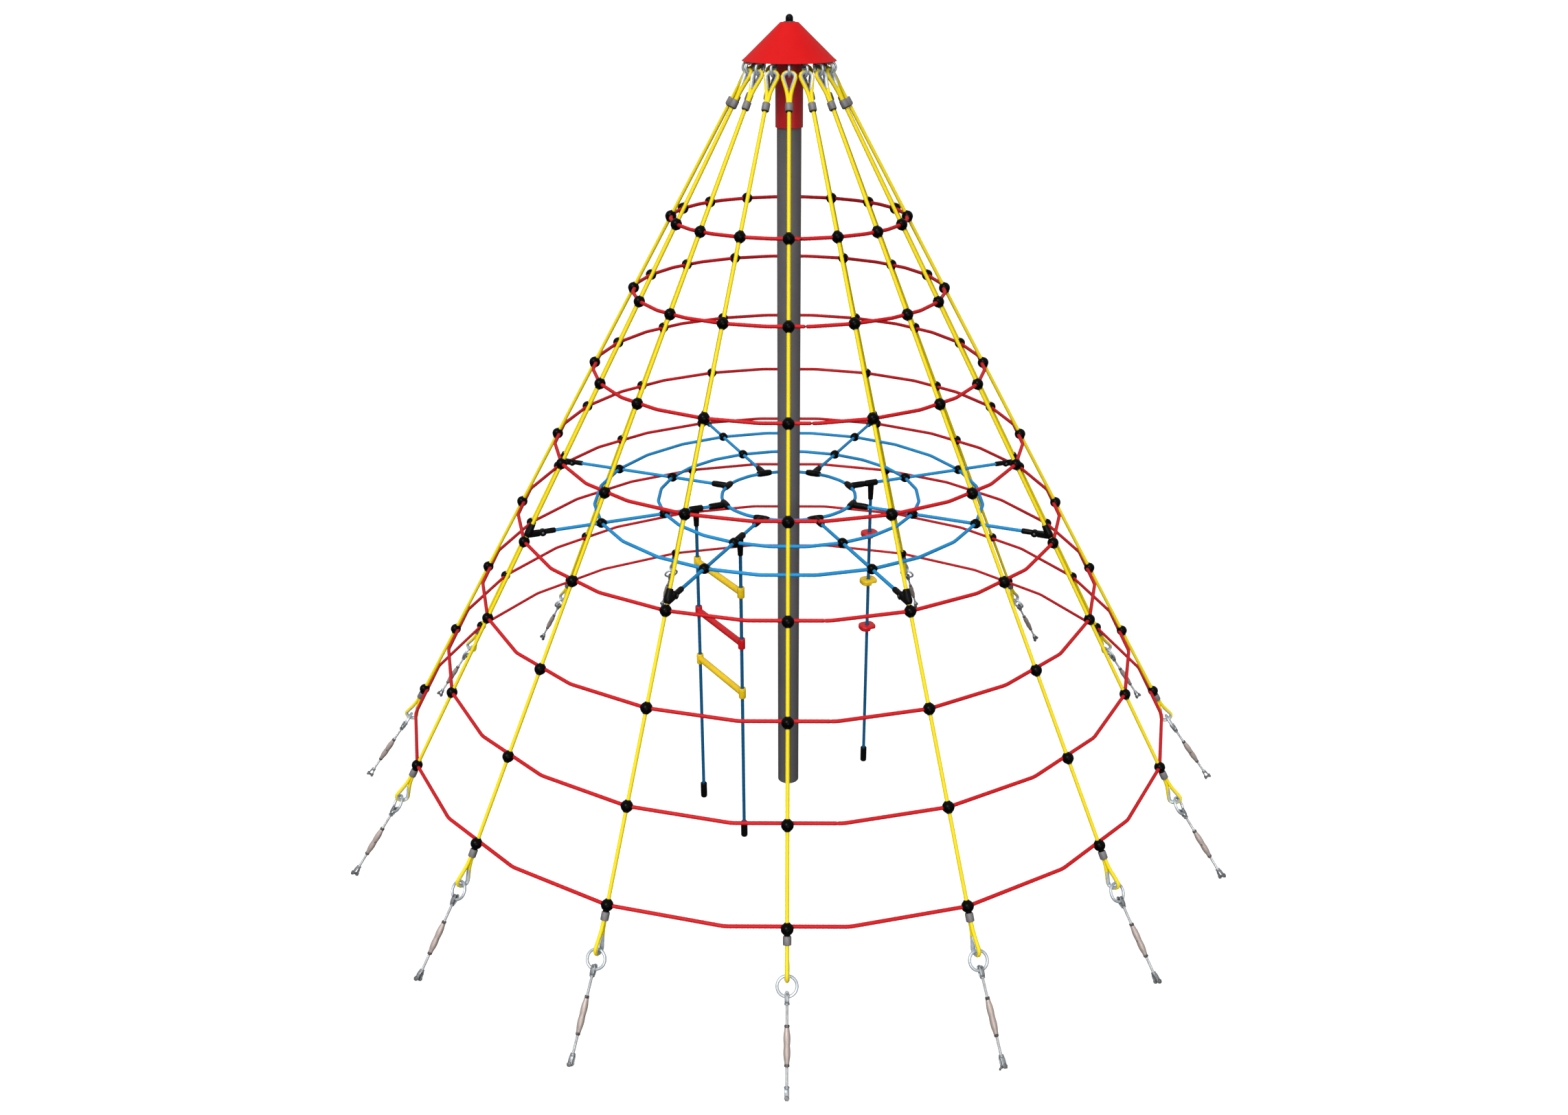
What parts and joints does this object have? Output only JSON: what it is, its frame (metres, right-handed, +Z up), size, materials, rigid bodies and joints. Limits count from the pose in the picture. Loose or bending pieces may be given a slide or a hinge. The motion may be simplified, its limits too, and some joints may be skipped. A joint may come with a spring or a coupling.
{
  "type": "rope pyramid climber",
  "caption": "Playground rope climber: a cone of guy ropes and level rope rings round a mast, with a rope platform, a rope ladder and a climbing rope inside.",
  "frame": {"origin": "on the mast axis at ground level, under the middle of the net", "axes": "+Z up along the mast; -Y towards the side that the picture was taken from; +X to the right in it"},
  "size_m": [4.7806, 4.7806, 4.022],
  "materials": {
    "mast": "satin paint",
    "head_sleeve": "satin paint",
    "cap": "satin",
    "black_plastic": "satin",
    "red_rope_and_balls": "braided rope, black moulded balls",
    "yellow_rope_and_steel": "braided rope, galvanized steel ends",
    "turnbuckle_steel": "galvanized",
    "blue_rope": "braided rope, black moulded tees",
    "dark_blue_rope": "braided rope",
    "red_plastic": "satin",
    "yellow_plastic": "satin",
    "connector": "satin"
  },
  "bodies": {
    "net": {"mast_tube": "mast", "mast_head_sleeve": "head_sleeve", "head_cap": "cap", "cap_dome_nut": "black_plastic", "net_ring_1": "red_rope_and_balls", "net_ring_2": "red_rope_and_balls", "net_ring_3": "red_rope_and_balls", "net_ring_4": "red_rope_and_balls", "net_ring_5": "red_rope_and_balls", "net_ring_6": "red_rope_and_balls", "net_ring_7": "red_rope_and_balls", "net_ring_8": "red_rope_and_balls", "guy_rope_01": "yellow_rope_and_steel", "guy_rope_02": "yellow_rope_and_steel", "guy_rope_03": "yellow_rope_and_steel", "guy_rope_04": "yellow_rope_and_steel", "guy_rope_05": "yellow_rope_and_steel", "guy_rope_06": "yellow_rope_and_steel", "guy_rope_07": "yellow_rope_and_steel", "guy_rope_08": "yellow_rope_and_steel", "guy_rope_09": "yellow_rope_and_steel", "guy_rope_10": "yellow_rope_and_steel", "guy_rope_11": "yellow_rope_and_steel", "guy_rope_12": "yellow_rope_and_steel", "guy_rope_13": "yellow_rope_and_steel", "guy_rope_14": "yellow_rope_and_steel", "guy_rope_15": "yellow_rope_and_steel", "guy_rope_16": "yellow_rope_and_steel", "platform_hub": "blue_rope", "platform_middle_ring": "blue_rope", "platform_outer_ring": "blue_rope"},
    "ladder": {"ladder_rope_left": "dark_blue_rope", "ladder_rope_right": "dark_blue_rope", "ladder_rung_top": "yellow_plastic", "ladder_rung_middle": "red_plastic", "ladder_rung_bottom": "yellow_plastic", "ladder_end_cap_left": "connector", "ladder_end_cap_right": "connector"},
    "climbing_tee": {"climbing_tee": "connector"},
    "climbing_rope": {"climbing_rope": "dark_blue_rope", "climbing_step_top": "red_plastic", "climbing_step_middle": "yellow_plastic", "climbing_step_bottom": "red_plastic", "climbing_rope_end_cap": "connector"},
    "turnbuckle_01": {"turnbuckle_sleeve_01": "turnbuckle_steel"},
    "turnbuckle_02": {"turnbuckle_sleeve_02": "turnbuckle_steel"},
    "turnbuckle_03": {"turnbuckle_sleeve_03": "turnbuckle_steel"},
    "turnbuckle_04": {"turnbuckle_sleeve_04": "turnbuckle_steel"},
    "turnbuckle_05": {"turnbuckle_sleeve_05": "turnbuckle_steel"},
    "turnbuckle_06": {"turnbuckle_sleeve_06": "turnbuckle_steel"},
    "turnbuckle_07": {"turnbuckle_sleeve_07": "turnbuckle_steel"},
    "turnbuckle_08": {"turnbuckle_sleeve_08": "turnbuckle_steel"},
    "turnbuckle_09": {"turnbuckle_sleeve_09": "turnbuckle_steel"},
    "turnbuckle_10": {"turnbuckle_sleeve_10": "turnbuckle_steel"},
    "turnbuckle_11": {"turnbuckle_sleeve_11": "turnbuckle_steel"},
    "turnbuckle_12": {"turnbuckle_sleeve_12": "turnbuckle_steel"},
    "turnbuckle_13": {"turnbuckle_sleeve_13": "turnbuckle_steel"},
    "turnbuckle_14": {"turnbuckle_sleeve_14": "turnbuckle_steel"},
    "turnbuckle_15": {"turnbuckle_sleeve_15": "turnbuckle_steel"},
    "turnbuckle_16": {"turnbuckle_sleeve_16": "turnbuckle_steel"}
  },
  "joints": [
    {"name": "ladder_swing", "type": "hinge", "parent": "net", "child": "ladder", "pos_m": [-0.34754, -0.37433, 1.627], "axis": [0.5416, -0.8406, 0], "range_deg": [-25, 25]},
    {"name": "climbing_tee_turn", "type": "hinge", "parent": "net", "child": "climbing_tee", "pos_m": [0.4333, 0.17948, 1.72], "axis": [0.9239, 0.3827, 0], "range_deg": [-25, 25]},
    {"name": "climbing_rope_swing", "type": "hinge", "parent": "climbing_tee", "child": "climbing_rope", "pos_m": [0.4333, 0.17948, 1.627], "axis": [0.3827, -0.9239, 0], "range_deg": [-12, 25]},
    {"name": "turnbuckle_01_turn", "type": "hinge", "parent": "net", "child": "turnbuckle_01", "pos_m": [0, -2.25189, 0.18264], "axis": [0, -0.578, -0.816], "continuous": true},
    {"name": "turnbuckle_02_turn", "type": "hinge", "parent": "net", "child": "turnbuckle_02", "pos_m": [0.86176, -2.08047, 0.18264], "axis": [0.2212, -0.534, -0.816], "continuous": true},
    {"name": "turnbuckle_03_turn", "type": "hinge", "parent": "net", "child": "turnbuckle_03", "pos_m": [1.59232, -1.59232, 0.18264], "axis": [0.4087, -0.4087, -0.816], "continuous": true},
    {"name": "turnbuckle_04_turn", "type": "hinge", "parent": "net", "child": "turnbuckle_04", "pos_m": [2.08047, -0.86176, 0.18264], "axis": [0.534, -0.2212, -0.816], "continuous": true},
    {"name": "turnbuckle_05_turn", "type": "hinge", "parent": "net", "child": "turnbuckle_05", "pos_m": [2.25189, 0, 0.18264], "axis": [0.578, 0, -0.816], "continuous": true},
    {"name": "turnbuckle_06_turn", "type": "hinge", "parent": "net", "child": "turnbuckle_06", "pos_m": [2.08047, 0.86176, 0.18264], "axis": [0.534, 0.2212, -0.816], "continuous": true},
    {"name": "turnbuckle_07_turn", "type": "hinge", "parent": "net", "child": "turnbuckle_07", "pos_m": [1.59232, 1.59232, 0.18264], "axis": [0.4087, 0.4087, -0.816], "continuous": true},
    {"name": "turnbuckle_08_turn", "type": "hinge", "parent": "net", "child": "turnbuckle_08", "pos_m": [0.86176, 2.08047, 0.18264], "axis": [0.2212, 0.534, -0.816], "continuous": true},
    {"name": "turnbuckle_09_turn", "type": "hinge", "parent": "net", "child": "turnbuckle_09", "pos_m": [0, 2.25189, 0.18264], "axis": [0, 0.578, -0.816], "continuous": true},
    {"name": "turnbuckle_10_turn", "type": "hinge", "parent": "net", "child": "turnbuckle_10", "pos_m": [-0.86176, 2.08047, 0.18264], "axis": [-0.2212, 0.534, -0.816], "continuous": true},
    {"name": "turnbuckle_11_turn", "type": "hinge", "parent": "net", "child": "turnbuckle_11", "pos_m": [-1.59232, 1.59232, 0.18264], "axis": [-0.4087, 0.4087, -0.816], "continuous": true},
    {"name": "turnbuckle_12_turn", "type": "hinge", "parent": "net", "child": "turnbuckle_12", "pos_m": [-2.08047, 0.86176, 0.18264], "axis": [-0.534, 0.2212, -0.816], "continuous": true},
    {"name": "turnbuckle_13_turn", "type": "hinge", "parent": "net", "child": "turnbuckle_13", "pos_m": [-2.25189, 0, 0.18264], "axis": [-0.578, 0, -0.816], "continuous": true},
    {"name": "turnbuckle_14_turn", "type": "hinge", "parent": "net", "child": "turnbuckle_14", "pos_m": [-2.08047, -0.86176, 0.18264], "axis": [-0.534, -0.2212, -0.816], "continuous": true},
    {"name": "turnbuckle_15_turn", "type": "hinge", "parent": "net", "child": "turnbuckle_15", "pos_m": [-1.59232, -1.59232, 0.18264], "axis": [-0.4087, -0.4087, -0.816], "continuous": true},
    {"name": "turnbuckle_16_turn", "type": "hinge", "parent": "net", "child": "turnbuckle_16", "pos_m": [-0.86176, -2.08047, 0.18264], "axis": [-0.2212, -0.534, -0.816], "continuous": true}
  ]
}
